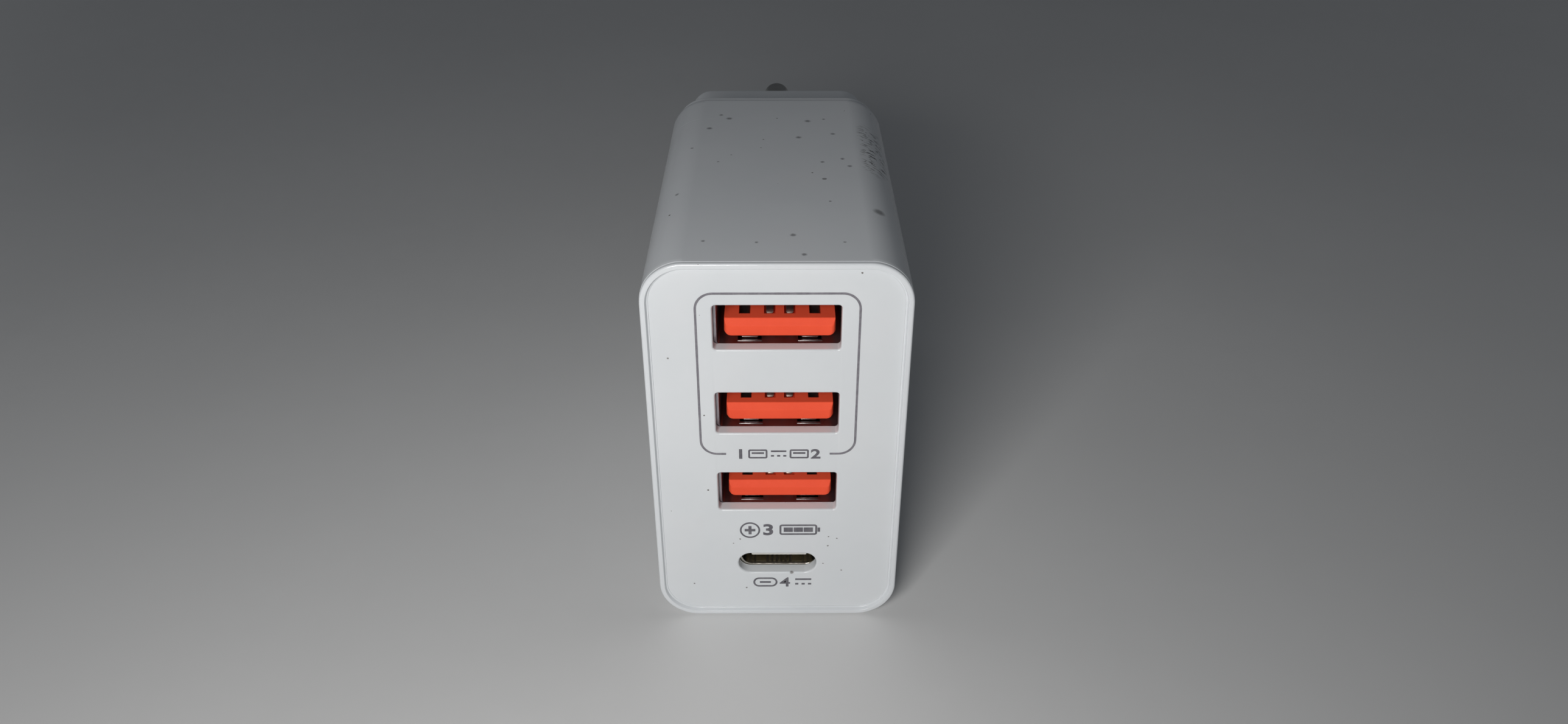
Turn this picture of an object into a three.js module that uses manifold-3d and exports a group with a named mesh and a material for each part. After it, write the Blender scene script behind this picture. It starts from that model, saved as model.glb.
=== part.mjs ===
// Four-port USB wall charger with a two-pin round-pin mains plug.
// Millimetres. +X is to the right of someone looking at the port panel, +Y points from the ports to the mains pins, +Z is up
// when the charger stands on its narrow side. The origin is the centre of the bottom of the bounding box.
// The enclosure is a sleeve with a port panel set into its front and a plug cover closing its back. A board stands behind the
// ports and carries the four receptacles. The power board stands along one side wall and carries the transformer and capacitors.
import * as THREE from "three";
import { mergeVertices } from "three/addons/utils/BufferGeometryUtils.js";
import Module from "manifold-3d";

// Enclosure
const LENGTH = 85.0; // front rim to pin tips
const WIDTH = 26.4;
const HEIGHT = 44.9;
const CORNER_R = 4.4;
const SLEEVE_LENGTH = 44.6;
const WALL = 1.5;
const RIM_WIDTH = 0.85; // front face of the sleeve that shows round the panel
const PANEL_RECESS = 0.45; // panel face behind the rim
const PANEL_THICK = 1.25;
const PANEL_GAP = 0.08; // seam between panel and rim
const MID_Z = HEIGHT / 2;

// Plug cover
const FLANGE_INSET = 0.35;
const FLANGE_LENGTH = 2.2;
const SPIGOT_LENGTH = 3.0;
const SPIGOT_WALL = 1.2;
const BLOCK_WIDTH = 24.4;
const BLOCK_HEIGHT = 33.0;
const BLOCK_R = 3.0;
const BLOCK_END = 66.0; // engagement face, measured from the front rim
const BLOCK_WALL = 1.8;
const BLOCK_FACE = 2.4;
const BOSS_R = 3.6;
const BOSS_LENGTH = 2.6;

// Mains pins
const PIN_SPACING = 19.0;
const PIN_R = 2.0;
const PIN_SHANK_R = 1.5;
const PIN_INNER = 60.2;

// Ports
const PORT_Z = [37.67, 27.6, 17.49]; // type A slot centres
const PORT_C_Z = 7.38; // type C slot centre
const PORT_OFFSET = 0.28; // the receptacles sit this far to the right of their slots
const SLOT_A = [12.55, 4.97, 0.35];
const SLOT_C = [8.58, 2.75];
const SHELL_A = [12.5, 5.12, 0.3]; // inner width, inner height, wall
const SHELL_C = [8.34, 2.56, 0.3];
const SHELL_FRONT = PANEL_RECESS + PANEL_THICK + 0.1;
const SHELL_BACK = 15.5;
const TONGUE_A = [11.1, 1.84]; // width, thickness
const TONGUE_A_FRONT = 2.15;
const TONGUE_A_LOW = -1.9; // underside below the slot centre
const CONTACT_X = [-3.5, -1.0, 1.0, 3.5];
const BOARD_A_FRONT = 15.7;
const BOARD_A_BACK = 16.9;

// Power board
const BOARD_X0 = -9.9;
const BOARD_X1 = -8.3;
const BOARD_Y0 = 17.2;
const BOARD_Y1 = 41.2;

const wasm = await Module();
wasm.setup();

const Y0 = -LENGTH / 2; // the front rim's plane
const yy = (d) => Y0 + d; // distance behind the front rim to Y

const white = new THREE.MeshStandardMaterial({ color: 0xe2e5e7, roughness: 0.28, metalness: 0 });
const whitePlug = new THREE.MeshStandardMaterial({ color: 0xdfe2e4, roughness: 0.34, metalness: 0 });
const nickel = new THREE.MeshStandardMaterial({ color: 0xc9c8c4, roughness: 0.22, metalness: 1 });
const steel = new THREE.MeshStandardMaterial({ color: 0xb5b4b0, roughness: 0.3, metalness: 1 });
const orange = new THREE.MeshStandardMaterial({ color: 0xf04a28, roughness: 0.42, metalness: 0 });
const black = new THREE.MeshStandardMaterial({ color: 0x1c1b1a, roughness: 0.5, metalness: 0 });
const gold = new THREE.MeshStandardMaterial({ color: 0xd6a94a, roughness: 0.25, metalness: 1 });
const fibreglass = new THREE.MeshStandardMaterial({ color: 0x1f6b3a, roughness: 0.45, metalness: 0 });
const ferrite = new THREE.MeshStandardMaterial({ color: 0x2e2e30, roughness: 0.7, metalness: 0 });
const tape = new THREE.MeshStandardMaterial({ color: 0xe5c53a, roughness: 0.35, metalness: 0 });
const copper = new THREE.MeshStandardMaterial({ color: 0xb46a35, roughness: 0.3, metalness: 1 });
const sleeveBlack = new THREE.MeshStandardMaterial({ color: 0x22262b, roughness: 0.35, metalness: 0 });
const can = new THREE.MeshStandardMaterial({ color: 0xc3c6c9, roughness: 0.25, metalness: 1 });
const blueCeramic = new THREE.MeshStandardMaterial({ color: 0x2f6fb0, roughness: 0.4, metalness: 0 });
const film = new THREE.MeshStandardMaterial({ color: 0xd9b23c, roughness: 0.4, metalness: 0 });
const fuseBrown = new THREE.MeshStandardMaterial({ color: 0x5a3524, roughness: 0.45, metalness: 0 });
const epoxy = new THREE.MeshStandardMaterial({ color: 0x17181a, roughness: 0.55, metalness: 0 });
const redWire = new THREE.MeshStandardMaterial({ color: 0xb3261e, roughness: 0.4, metalness: 0 });
const blueWire = new THREE.MeshStandardMaterial({ color: 0x2452a6, roughness: 0.4, metalness: 0 });
const mylar = new THREE.MeshStandardMaterial({ color: 0xcfd3cf, roughness: 0.3, metalness: 0 });

const charger = new THREE.Group();
charger.name = "usb_wall_charger";

function add(name, geometry, material) {
  const mesh = new THREE.Mesh(geometry, material);
  mesh.name = name;
  charger.add(mesh);
  return mesh;
}

// Outline of a rounded rectangle, anticlockwise, n steps to each corner.
function roundedRect(w, h, r, n = 6, cx = 0, cy = 0) {
  const points = [];
  const corners = [
    [w / 2 - r, h / 2 - r, 0],
    [-w / 2 + r, h / 2 - r, Math.PI / 2],
    [-w / 2 + r, -h / 2 + r, Math.PI],
    [w / 2 - r, -h / 2 + r, 1.5 * Math.PI],
  ];
  for (const [x, y, a0] of corners)
    for (let i = 0; i <= n; i++) {
      const a = a0 + ((Math.PI / 2) * i) / n;
      points.push(new THREE.Vector2(cx + x + r * Math.cos(a), cy + y + r * Math.sin(a)));
    }
  return points;
}

function rect(x0, y0, x1, y1) {
  return [
    new THREE.Vector2(x0, y0),
    new THREE.Vector2(x1, y0),
    new THREE.Vector2(x1, y1),
    new THREE.Vector2(x0, y1),
  ];
}

function extrude(points, depth) {
  return new THREE.ExtrudeGeometry(new THREE.Shape(points), { depth, bevelEnabled: false });
}

// Outline in X and Z, extruded along Y between two distances behind the front rim.
function alongY(points, d0, d1) {
  return extrude(points, d1 - d0)
    .rotateX(Math.PI / 2)
    .translate(0, yy(d1), 0);
}

// Outline in Y and Z, extruded along X.
function alongX(points, x0, x1) {
  const turn = new THREE.Matrix4().makeBasis(
    new THREE.Vector3(0, 1, 0),
    new THREE.Vector3(0, 0, 1),
    new THREE.Vector3(1, 0, 0),
  );
  return extrude(points, x1 - x0)
    .applyMatrix4(turn)
    .translate(x0, 0, 0);
}

function alongZ(points, z0, z1) {
  return extrude(points, z1 - z0).translate(0, 0, z0);
}

// Box from distances behind the front rim.
function block(x0, x1, d0, d1, z0, z1) {
  return new THREE.BoxGeometry(x1 - x0, d1 - d0, z1 - z0).translate(
    (x0 + x1) / 2,
    yy((d0 + d1) / 2),
    (z0 + z1) / 2,
  );
}

function solid(geometry) {
  const g = (geometry.index ? geometry.toNonIndexed() : geometry).clone();
  g.deleteAttribute("normal");
  g.deleteAttribute("uv");
  const merged = mergeVertices(g, 1e-4);
  return new wasm.Manifold(
    new wasm.Mesh({
      numProp: 3,
      vertProperties: new Float32Array(merged.attributes.position.array),
      triVerts: new Uint32Array(merged.index.array),
    }),
  );
}

function geometryOf(manifold) {
  const m = manifold.getMesh();
  const g = new THREE.BufferGeometry();
  g.setAttribute("position", new THREE.BufferAttribute(new Float32Array(m.vertProperties), 3));
  g.setIndex(new THREE.BufferAttribute(new Uint32Array(m.triVerts), 1));
  g.computeVertexNormals();
  return g;
}

function union(...geometries) {
  return geometries.map(solid).reduce((a, b) => a.add(b));
}

function cut(body, ...tools) {
  return tools.reduce((a, b) => a.subtract(solid(b)), body);
}

// A turned piece along Y. The profile is [radius, distance behind the front rim] from one end of the axis to the other.
function turnedY(profile, x, z, segments = 24) {
  const g = new THREE.LatheGeometry(
    profile.map(([r, d]) => new THREE.Vector2(r, d)),
    segments,
  );
  return g.translate(x, Y0, z);
}

// A turned piece along X. The profile is [radius, x].
function turnedX(profile, d, z, segments = 20) {
  const g = new THREE.LatheGeometry(
    profile.map(([r, x]) => new THREE.Vector2(r, x)),
    segments,
  );
  return g.rotateZ(-Math.PI / 2).translate(0, yy(d), z);
}

// A round wire through the points, each [x, distance behind the front rim, z].
function lead(points, r) {
  const curve = new THREE.CatmullRomCurve3(points.map(([x, d, z]) => new THREE.Vector3(x, yy(d), z)));
  const section = new THREE.Shape(
    Array.from({ length: 10 }, (_, i) => {
      const a = (2 * Math.PI * i) / 10;
      return new THREE.Vector2(r * Math.cos(a), r * Math.sin(a));
    }),
  );
  return new THREE.ExtrudeGeometry(section, { steps: 14, bevelEnabled: false, extrudePath: curve });
}

// ---------------------------------------------------------------- enclosure
const outer = roundedRect(WIDTH, HEIGHT, CORNER_R, 8, 0, MID_Z);
const cavity = roundedRect(WIDTH - 2 * WALL, HEIGHT - 2 * WALL, CORNER_R - WALL, 5, 0, MID_Z);
const rebate = roundedRect(WIDTH - 2 * RIM_WIDTH, HEIGHT - 2 * RIM_WIDTH, CORNER_R - RIM_WIDTH, 6, 0, MID_Z);
const shoulder = PANEL_RECESS + PANEL_THICK + 0.05;

let sleeve = cut(
  union(alongY(outer, 0, SLEEVE_LENGTH)),
  alongY(cavity, shoulder - 1, SLEEVE_LENGTH + 1),
  alongY(rebate, -1, shoulder),
);
// Two pairs of rails on the roof and floor hold the power board by its edges.
for (const [z0, z1] of [
  [WALL - 0.2, WALL + 1.1],
  [HEIGHT - WALL - 1.1, HEIGHT - WALL + 0.2],
])
  for (const x of [BOARD_X0 - 1.1, BOARD_X1 + 0.1])
    sleeve = sleeve.add(solid(block(x, x + 1.0, 18.5, 40.8, z0, z1)));
add("main_housing", geometryOf(sleeve), white);

const panelOutline = roundedRect(
  WIDTH - 2 * (RIM_WIDTH + PANEL_GAP),
  HEIGHT - 2 * (RIM_WIDTH + PANEL_GAP),
  CORNER_R - RIM_WIDTH - PANEL_GAP,
  6,
  0,
  MID_Z,
);
let panel = union(alongY(panelOutline, PANEL_RECESS, PANEL_RECESS + PANEL_THICK));
for (const z of PORT_Z)
  panel = cut(panel, alongY(roundedRect(SLOT_A[0], SLOT_A[1], SLOT_A[2], 3, 0, z), 0, 5));
panel = cut(
  panel,
  alongY(roundedRect(SLOT_C[0], SLOT_C[1], SLOT_C[1] / 2 - 0.001, 8, 0, PORT_C_Z), 0, 5),
);
add("front_panel", geometryOf(panel), white);

// Plug cover: a spigot inside the sleeve, a flange behind it, then the block that enters the socket.
const flange = roundedRect(WIDTH - 2 * FLANGE_INSET, HEIGHT - 2 * FLANGE_INSET, CORNER_R - FLANGE_INSET, 8, 0, MID_Z);
const spigotOut = roundedRect(
  WIDTH - 2 * WALL - 0.3,
  HEIGHT - 2 * WALL - 0.3,
  CORNER_R - WALL - 0.15,
  5,
  0,
  MID_Z,
);
const spigotIn = roundedRect(
  WIDTH - 2 * WALL - 0.3 - 2 * SPIGOT_WALL,
  HEIGHT - 2 * WALL - 0.3 - 2 * SPIGOT_WALL,
  CORNER_R - WALL - 0.15 - SPIGOT_WALL + 0.4,
  5,
  0,
  MID_Z,
);
const blockOut = roundedRect(BLOCK_WIDTH, BLOCK_HEIGHT, BLOCK_R, 6, 0, MID_Z);
const blockIn = roundedRect(BLOCK_WIDTH - 2 * BLOCK_WALL, BLOCK_HEIGHT - 2 * BLOCK_WALL, BLOCK_R - 1.2, 4, 0, MID_Z);
const flangeStart = SLEEVE_LENGTH + 0.06;
let cover = union(
  alongY(spigotOut, SLEEVE_LENGTH - SPIGOT_LENGTH, flangeStart + 0.5),
  alongY(flange, flangeStart, SLEEVE_LENGTH + FLANGE_LENGTH),
  alongY(blockOut, SLEEVE_LENGTH + 0.5, BLOCK_END),
);
cover = cut(
  cover,
  alongY(spigotIn, SLEEVE_LENGTH - SPIGOT_LENGTH - 1, flangeStart + 0.4),
  alongY(blockIn, SLEEVE_LENGTH - 1, BLOCK_END - BLOCK_FACE),
);
const pinZ = [MID_Z + PIN_SPACING / 2, MID_Z - PIN_SPACING / 2];
for (const z of pinZ)
  cover = cover.add(
    solid(
      turnedY(
        [
          [0, BLOCK_END - BLOCK_FACE - BOSS_LENGTH],
          [BOSS_R, BLOCK_END - BLOCK_FACE - BOSS_LENGTH],
          [BOSS_R, BLOCK_END - BLOCK_FACE + 0.5],
          [0, BLOCK_END - BLOCK_FACE + 0.5],
        ],
        0,
        z,
        20,
      ),
    ),
  );
for (const z of pinZ)
  cover = cut(
    cover,
    turnedY(
      [
        [0, BLOCK_END - BLOCK_FACE - BOSS_LENGTH - 1],
        [PIN_SHANK_R + 0.06, BLOCK_END - BLOCK_FACE - BOSS_LENGTH - 1],
        [PIN_SHANK_R + 0.06, BLOCK_END - 1.26],
        [PIN_R + 0.06, BLOCK_END - 1.26],
        [PIN_R + 0.06, BLOCK_END + 1],
        [0, BLOCK_END + 1],
      ],
      0,
      z,
      24,
    ),
  );
add("rear_cover", geometryOf(cover), whitePlug);

// ---------------------------------------------------------------- mains pins
const tip = [];
for (let i = 0; i <= 5; i++) {
  const a = (Math.PI / 2) * (i / 5);
  tip.push([Math.max(0, PIN_R - 1.5 + 1.5 * Math.cos(a)), LENGTH - 1.5 + 1.5 * Math.sin(a)]);
}
for (const [name, z] of [
  ["plug_pin_upper", pinZ[0]],
  ["plug_pin_lower", pinZ[1]],
])
  add(
    name,
    turnedY(
      [
        [0, PIN_INNER],
        [PIN_SHANK_R, PIN_INNER],
        [PIN_SHANK_R, BLOCK_END - 1.2],
        [PIN_R, BLOCK_END - 1.2],
        ...tip,
        [0, LENGTH],
      ],
      0,
      z,
      24,
    ),
    nickel,
  );

// ---------------------------------------------------------------- type A receptacles
const tailHoles = [];
const names = ["top", "middle", "bottom"];
PORT_Z.forEach((z, k) => {
  const x = PORT_OFFSET;
  const [iw, ih, t] = SHELL_A;
  const shellOut = roundedRect(iw + 2 * t, ih + 2 * t, 0.55, 3, x, z);
  const shellIn = roundedRect(iw, ih, 0.25, 2, x, z);
  let shell = cut(
    union(alongY(shellOut, SHELL_FRONT, SHELL_BACK)),
    alongY(shellIn, SHELL_FRONT - 1, SHELL_BACK + 1),
  );
  // Each wide wall has two spring fingers, freed by a slot on three sides.
  for (const side of [-1, 1])
    for (const fx of [-3.0, 3.0]) {
      const zc = z + side * (ih / 2 + t / 2);
      const z0 = zc - 0.5;
      const z1 = zc + 0.5;
      shell = cut(
        shell,
        block(x + fx - 1.32, x + fx + 1.32, 2.4, 2.85, z0, z1),
        block(x + fx - 1.32, x + fx - 0.88, 2.4, 8.6, z0, z1),
        block(x + fx + 0.88, x + fx + 1.32, 2.4, 8.6, z0, z1),
      );
    }
  // Two tabs pass through the board.
  for (const s of [-1, 1]) {
    const x0 = x + s * (iw / 2 + t / 2);
    shell = shell.add(solid(block(x0 - 0.15, x0 + 0.15, SHELL_BACK - 0.5, 18.1, z - 0.9, z + 0.9)));
    tailHoles.push([x0 - 0.4, x0 + 0.4, z - 1.15, z + 1.15]);
  }
  add("usb_a_shell_" + names[k], geometryOf(shell), steel);

  // Insulator: a base block across the back of the shell and the tongue with four grooves in its top.
  const low = z + TONGUE_A_LOW;
  const high = low + TONGUE_A[1];
  const f = yy(TONGUE_A_FRONT);
  const b = yy(12.2);
  const profile = [
    [f, low + 0.15],
    [f + 0.15, low],
    [b, low],
    [b, high],
    [f + 0.42, high],
    [f, high - 0.72],
  ].map(([u, v]) => new THREE.Vector2(u, v));
  let tongue = union(
    alongX(profile, x - TONGUE_A[0] / 2, x + TONGUE_A[0] / 2),
    alongY(roundedRect(iw - 0.12, ih - 0.12, 0.25, 2, x, z), 12.0, SHELL_BACK - 0.1),
  );
  for (const cx of CONTACT_X)
    tongue = cut(tongue, block(x + cx - 0.56, x + cx + 0.56, 3.45, 17, high - 0.62, high + 0.2));
  add("usb_a_tongue_" + names[k], geometryOf(tongue), orange);

  // Contact springs: they lie in the grooves, rise near the front and end in tails through the board.
  CONTACT_X.forEach((cx, i) => {
    const s = [
      [yy(3.75), high - 0.42],
      [yy(3.75), high - 0.2],
      [yy(5.2), high + 0.16],
      [yy(6.6), high + 0.16],
      [yy(9.5), high - 0.3],
      [yy(11.8), high - 0.3],
      [yy(11.8), high - 0.52],
      [yy(9.4), high - 0.52],
      [yy(6.5), high - 0.06],
      [yy(5.3), high - 0.06],
    ].map(([u, v]) => new THREE.Vector2(u, v));
    s.reverse();
    let contact = union(
      alongX(s, x + cx - 0.46, x + cx + 0.46),
      block(x + cx - 0.46, x + cx + 0.46, 11.5, SHELL_BACK - 0.2, high - 0.52, high - 0.3),
      block(x + cx - 0.3, x + cx + 0.3, SHELL_BACK - 0.6, 18.0, high - 0.52, high - 0.3),
    );
    add(`usb_a_${names[k]}_contact_${i + 1}`, geometryOf(contact), gold);
    tailHoles.push([x + cx - 0.5, x + cx + 0.5, high - 0.8, high + 0.0]);
  });
});

// ---------------------------------------------------------------- type C receptacle
{
  const x = PORT_OFFSET - 0.1;
  const z = PORT_C_Z;
  const [iw, ih, t] = SHELL_C;
  let shell = cut(
    union(alongY(roundedRect(iw + 2 * t, ih + 2 * t, ih / 2 + t - 0.001, 7, x, z), SHELL_FRONT, SHELL_BACK)),
    alongY(roundedRect(iw, ih, ih / 2 - 0.001, 7, x, z), SHELL_FRONT - 1, SHELL_BACK + 1),
  );
  for (const s of [-1, 1]) {
    const x0 = x + s * (iw / 2 + t / 2);
    shell = shell.add(solid(block(x0 - 0.15, x0 + 0.15, SHELL_BACK - 0.5, 18.0, z - 0.5, z + 0.5)));
    tailHoles.push([x0 - 0.4, x0 + 0.4, z - 0.75, z + 0.75]);
  }
  add("usb_c_shell", geometryOf(shell), steel);
  let tongue = union(
    alongX(
      [
        [yy(2.25), z - 0.2],
        [yy(2.4), z - 0.35],
        [yy(9.5), z - 0.35],
        [yy(9.5), z + 0.35],
        [yy(2.4), z + 0.35],
        [yy(2.25), z + 0.2],
      ].map(([u, v]) => new THREE.Vector2(u, v)),
      x - 3.345,
      x + 3.345,
    ),
    alongY(roundedRect(iw - 0.12, ih - 0.12, ih / 2 - 0.07, 6, x, z), 8.6, SHELL_BACK - 0.1),
  );
  // The contacts are let into the top and bottom faces of the tongue, and run out through the back.
  const upper = [
    [-2.65, 0.5],
    [-1.75, 0.5],
    [-0.75, 0.3],
    [0.75, 0.3],
    [1.75, 0.5],
    [2.65, 0.5],
  ];
  const lower = [
    [-2.05, 1.1],
    [-0.5, 0.3],
    [0.5, 0.3],
    [2.05, 1.1],
  ];
  const rows = [
    ["usb_c_contact_", upper, 0.24, 0.2, 0.4],
    ["usb_c_lower_contact_", lower, -0.36, -0.4, -0.2],
  ];
  for (const [, list, , g0, g1] of rows)
    for (const [cx, w] of list)
      tongue = cut(tongue, block(x + cx - w / 2 - 0.05, x + cx + w / 2 + 0.05, 3.1, 17, z + g0, z + g1));
  add("usb_c_tongue", geometryOf(tongue), black);
  for (const [name, list, h] of rows)
    list.forEach(([cx, w], i) => {
      add(
        name + (i + 1),
        geometryOf(
          union(
            block(x + cx - w / 2, x + cx + w / 2, 3.2, SHELL_BACK, z + h, z + h + 0.12),
            block(x + cx - 0.12, x + cx + 0.12, SHELL_BACK - 0.4, 17.6, z + h, z + h + 0.12),
          ),
        ),
        gold,
      );
      tailHoles.push([x + cx - 0.3, x + cx + 0.3, z + h - 0.19, z + h + 0.31]);
    });
}

// ---------------------------------------------------------------- port board
{
  let board = union(alongY(roundedRect(22.4, HEIGHT - 4.2, 2.6, 5, 0, MID_Z), BOARD_A_FRONT, BOARD_A_BACK));
  for (const [x0, x1, z0, z1] of tailHoles)
    board = cut(board, block(x0, x1, BOARD_A_FRONT - 1, BOARD_A_BACK + 1, z0, z1));
  add("port_board", geometryOf(board), fibreglass);
}
add("port_controller_ic_1", block(1.2, 6.2, 17.0, 18.5, 31.2, 35.2), epoxy);
add("port_controller_ic_2", block(1.2, 5.2, 17.0, 18.0, 10.6, 14.6), epoxy);
add("output_inductor_1", block(-11.0, -7.0, 11.9, 15.6, 30.6, 34.6), ferrite);
add("output_inductor_2", block(-11.0, -7.0, 11.9, 15.6, 10.4, 14.4), ferrite);

// ---------------------------------------------------------------- power board
add("power_board", block(BOARD_X0, BOARD_X1, BOARD_Y0, BOARD_Y1, 2.0, HEIGHT - 2.0), fibreglass);
add("bridge_rectifier", block(-11.5, -10.0, 33.0, 38.0, 9.0, 15.5), epoxy);
add("primary_controller_ic", block(-11.5, -10.0, 26.0, 30.0, 24.0, 29.0), epoxy);
add("sync_rectifier_ic", block(-11.5, -10.0, 19.0, 23.0, 14.0, 19.0), epoxy);

// Transformer, its winding axis along Z. Two E-shaped ferrite halves close round the bobbin.
{
  const cx = 0;
  const d = 29.0;
  const z = MID_Z;
  const half = (s) => {
    const p = [
      [-8, 0.05],
      [-5.5, 0.05],
      [-5.5, 6.5],
      [-2.5, 6.5],
      [-2.5, 0.05],
      [2.5, 0.05],
      [2.5, 6.5],
      [5.5, 6.5],
      [5.5, 0.05],
      [8, 0.05],
      [8, 9],
      [-8, 9],
    ].map(([u, v]) => new THREE.Vector2(cx + u, z + s * v));
    if (s < 0) p.reverse();
    return alongY(p, d - 4.5, d + 4.5);
  };
  add("transformer_core_upper", half(1), ferrite);
  add("transformer_core_lower", half(-1), ferrite);
  const at = (w, l, r) =>
    roundedRect(w, l, r, 3, cx, yy(d));
  const bobbin = cut(
    union(
      alongZ(at(7.0, 11.0, 0.8), z - 6.2, z + 6.2),
      alongZ(at(10.6, 15.0, 0.6), z - 6.2, z - 5.4),
      alongZ(at(10.6, 15.0, 0.6), z + 5.4, z + 6.2),
    ),
    alongZ(at(5.4, 9.4, 0.2), z - 8, z + 8),
  );
  add("transformer_bobbin", geometryOf(bobbin), black);
  const winding = cut(
    union(alongZ(at(10.3, 14.6, 2.4), z - 5.3, z + 5.3)),
    alongZ(at(7.2, 11.2, 0.9), z - 8, z + 8),
  );
  add("transformer_winding", geometryOf(winding), tape);
}

// Electrolytic capacitors: sleeve round a can with a groove near its base.
function electrolyticX(name, r, x0, x1, d, z, material) {
  add(
    name,
    turnedX(
      [
        [0, x0],
        [r * 0.94, x0],
        [r, x0 + 0.3],
        [r, x0 + 1.4],
        [r * 0.92, x0 + 1.9],
        [r, x0 + 2.4],
        [r, x1 - 0.3],
        [r * 0.94, x1],
        [0, x1],
      ],
      d,
      z,
    ),
    material,
  );
}
electrolyticX("bulk_capacitor_2", 4.0, -8.2, 6.8, 36.6, 37.4, sleeveBlack);
electrolyticX("output_capacitor_1", 3.15, -8.2, 0.8, 21.6, 38.2, can);
electrolyticX("output_capacitor_2", 3.15, -8.2, 0.8, 21.6, 6.8, can);
{
  // The large capacitor lies in the hollow plug block, and its two legs bend back to the power board.
  const body = turnedY(
    [
      [0, 44.0],
      [4.7, 44.0],
      [5.0, 44.3],
      [5.0, 45.6],
      [4.6, 46.2],
      [5.0, 46.8],
      [5.0, 59.7],
      [4.7, 60.0],
      [0, 60.0],
    ],
    0,
    MID_Z,
    24,
  );
  const leg = (z) =>
    lead(
      [
        [0, 44.4, z],
        [-0.1, 43.2, z],
        [-1.6, 42.0, z],
        [-5.5, 40.6, z],
        [-8.05, 40.0, z],
      ],
      0.3,
    );
  add("bulk_capacitor_1", geometryOf(union(body, leg(MID_Z + 2.5), leg(MID_Z - 2.5))), sleeveBlack);
}
add("fuse", block(-8.1, -0.2, 26.6, 30.6, 33.9, 42.2), fuseBrown);
add(
  "safety_capacitor",
  turnedY(
    [
      [0, 27.0],
      [2.9, 27.0],
      [3.5, 27.7],
      [3.5, 29.3],
      [2.9, 30.0],
      [0, 30.0],
    ],
    -4.2,
    7.0,
    20,
  ),
  blueCeramic,
);
// Common-mode choke: a ferrite ring with a copper winding on each half.
{
  const d = 36.4;
  const z = 8.0;
  const ring = (r0, r1, x0, x1, n = 20) =>
    cut(
      solid(
        turnedX(
          [
            [0, x0],
            [r1, x0],
            [r1, x1],
            [0, x1],
          ],
          d,
          z,
          n,
        ),
      ),
      turnedX(
        [
          [0, x0 - 1],
          [r0, x0 - 1],
          [r0, x1 + 1],
          [0, x1 + 1],
        ],
        d,
        z,
        n,
      ),
    );
  add("choke_core", geometryOf(ring(2.2, 4.0, -6.6, -3.0)), ferrite);
  const jacket = ring(1.4, 4.8, -7.5, -2.1);
  const hollow = ring(2.15, 4.05, -6.65, -2.95);
  for (const [name, z0, z1] of [
    ["choke_winding_upper", z + 1.1, z + 6],
    ["choke_winding_lower", z - 6, z - 1.1],
  ])
    add(
      name,
      geometryOf(
        jacket
          .subtract(hollow)
          .intersect(solid(block(-9, 0, d - 8, d + 8, z0, z1))),
      ),
      copper,
    );
}
add("insulation_sheet", block(11.15, 11.45, 18.0, 41.0, 4.5, HEIGHT - 4.5), mylar);

// ---------------------------------------------------------------- leads from the pins to the power board
add(
  "lead_live",
  lead(
    [
      [0, 59.9, pinZ[0]],
      [-0.6, 57.5, pinZ[0] + 0.3],
      [-4.2, 52.5, pinZ[0] + 0.6],
      [-7.0, 46.5, pinZ[0]],
      [-7.3, 41.0, pinZ[0] - 0.4],
    ],
    0.75,
  ),
  redWire,
);
add(
  "lead_neutral",
  lead(
    [
      [0, 59.9, pinZ[1]],
      [-0.6, 57.5, pinZ[1] - 0.3],
      [-4.2, 52.5, pinZ[1] - 0.6],
      [-7.0, 46.5, pinZ[1] + 0.6],
      [-7.3, 41.6, pinZ[1] + 2.2],
    ],
    0.75,
  ),
  blueWire,
);

export default charger;
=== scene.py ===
import math

import bmesh
import bpy
from mathutils import Matrix, Vector


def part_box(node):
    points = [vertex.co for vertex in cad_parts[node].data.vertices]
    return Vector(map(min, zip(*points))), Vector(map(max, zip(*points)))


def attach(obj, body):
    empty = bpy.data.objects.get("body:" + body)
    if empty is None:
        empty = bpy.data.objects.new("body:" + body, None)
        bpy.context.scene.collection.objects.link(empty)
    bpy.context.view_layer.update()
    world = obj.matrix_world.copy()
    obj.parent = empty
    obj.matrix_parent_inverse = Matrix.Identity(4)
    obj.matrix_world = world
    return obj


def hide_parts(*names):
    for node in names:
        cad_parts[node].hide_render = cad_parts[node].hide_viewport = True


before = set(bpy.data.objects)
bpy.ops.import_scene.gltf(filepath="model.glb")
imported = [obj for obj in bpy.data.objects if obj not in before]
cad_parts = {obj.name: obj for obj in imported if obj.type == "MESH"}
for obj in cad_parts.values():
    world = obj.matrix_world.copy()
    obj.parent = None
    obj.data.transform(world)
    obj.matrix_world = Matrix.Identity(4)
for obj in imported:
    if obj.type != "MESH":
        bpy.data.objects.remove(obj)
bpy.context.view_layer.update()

MM = 0.001

# ------------------------------------------------------------------ sizes, in millimetres, as in the CAD
(hx0, hy0, hz0), (hx1, hy1, hz1) = [
    [c * 1000 for c in v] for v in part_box("main_housing")
]
FRONT = hy0  # the front rim's plane
WIDTH = hx1 - hx0
HEIGHT = hz1 - hz0
SLEEVE = hy1 - hy0
MID_Z = HEIGHT / 2
CORNER_R = 4.4
WALL = 1.5
RECESS = 0.45
PANEL_BACK = 1.7
SLOT_A = (12.55, 4.97, 0.35)
SLOT_C = (8.58, 2.75)
PORT_Z = (37.67, 27.6, 17.49)
PORT_C_Z = 7.38
NAMES = ("top", "middle", "bottom")
FLANGE_END = 46.8
BLOCK = (24.4, 33.0, 3.0)
BLOCK_END = 66.0
PIN_Z = (MID_Z + 9.5, MID_Z - 9.5)
LENGTH = 85.0


def yy(d):
    """Distance behind the front rim to Y."""
    return FRONT + d


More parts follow.
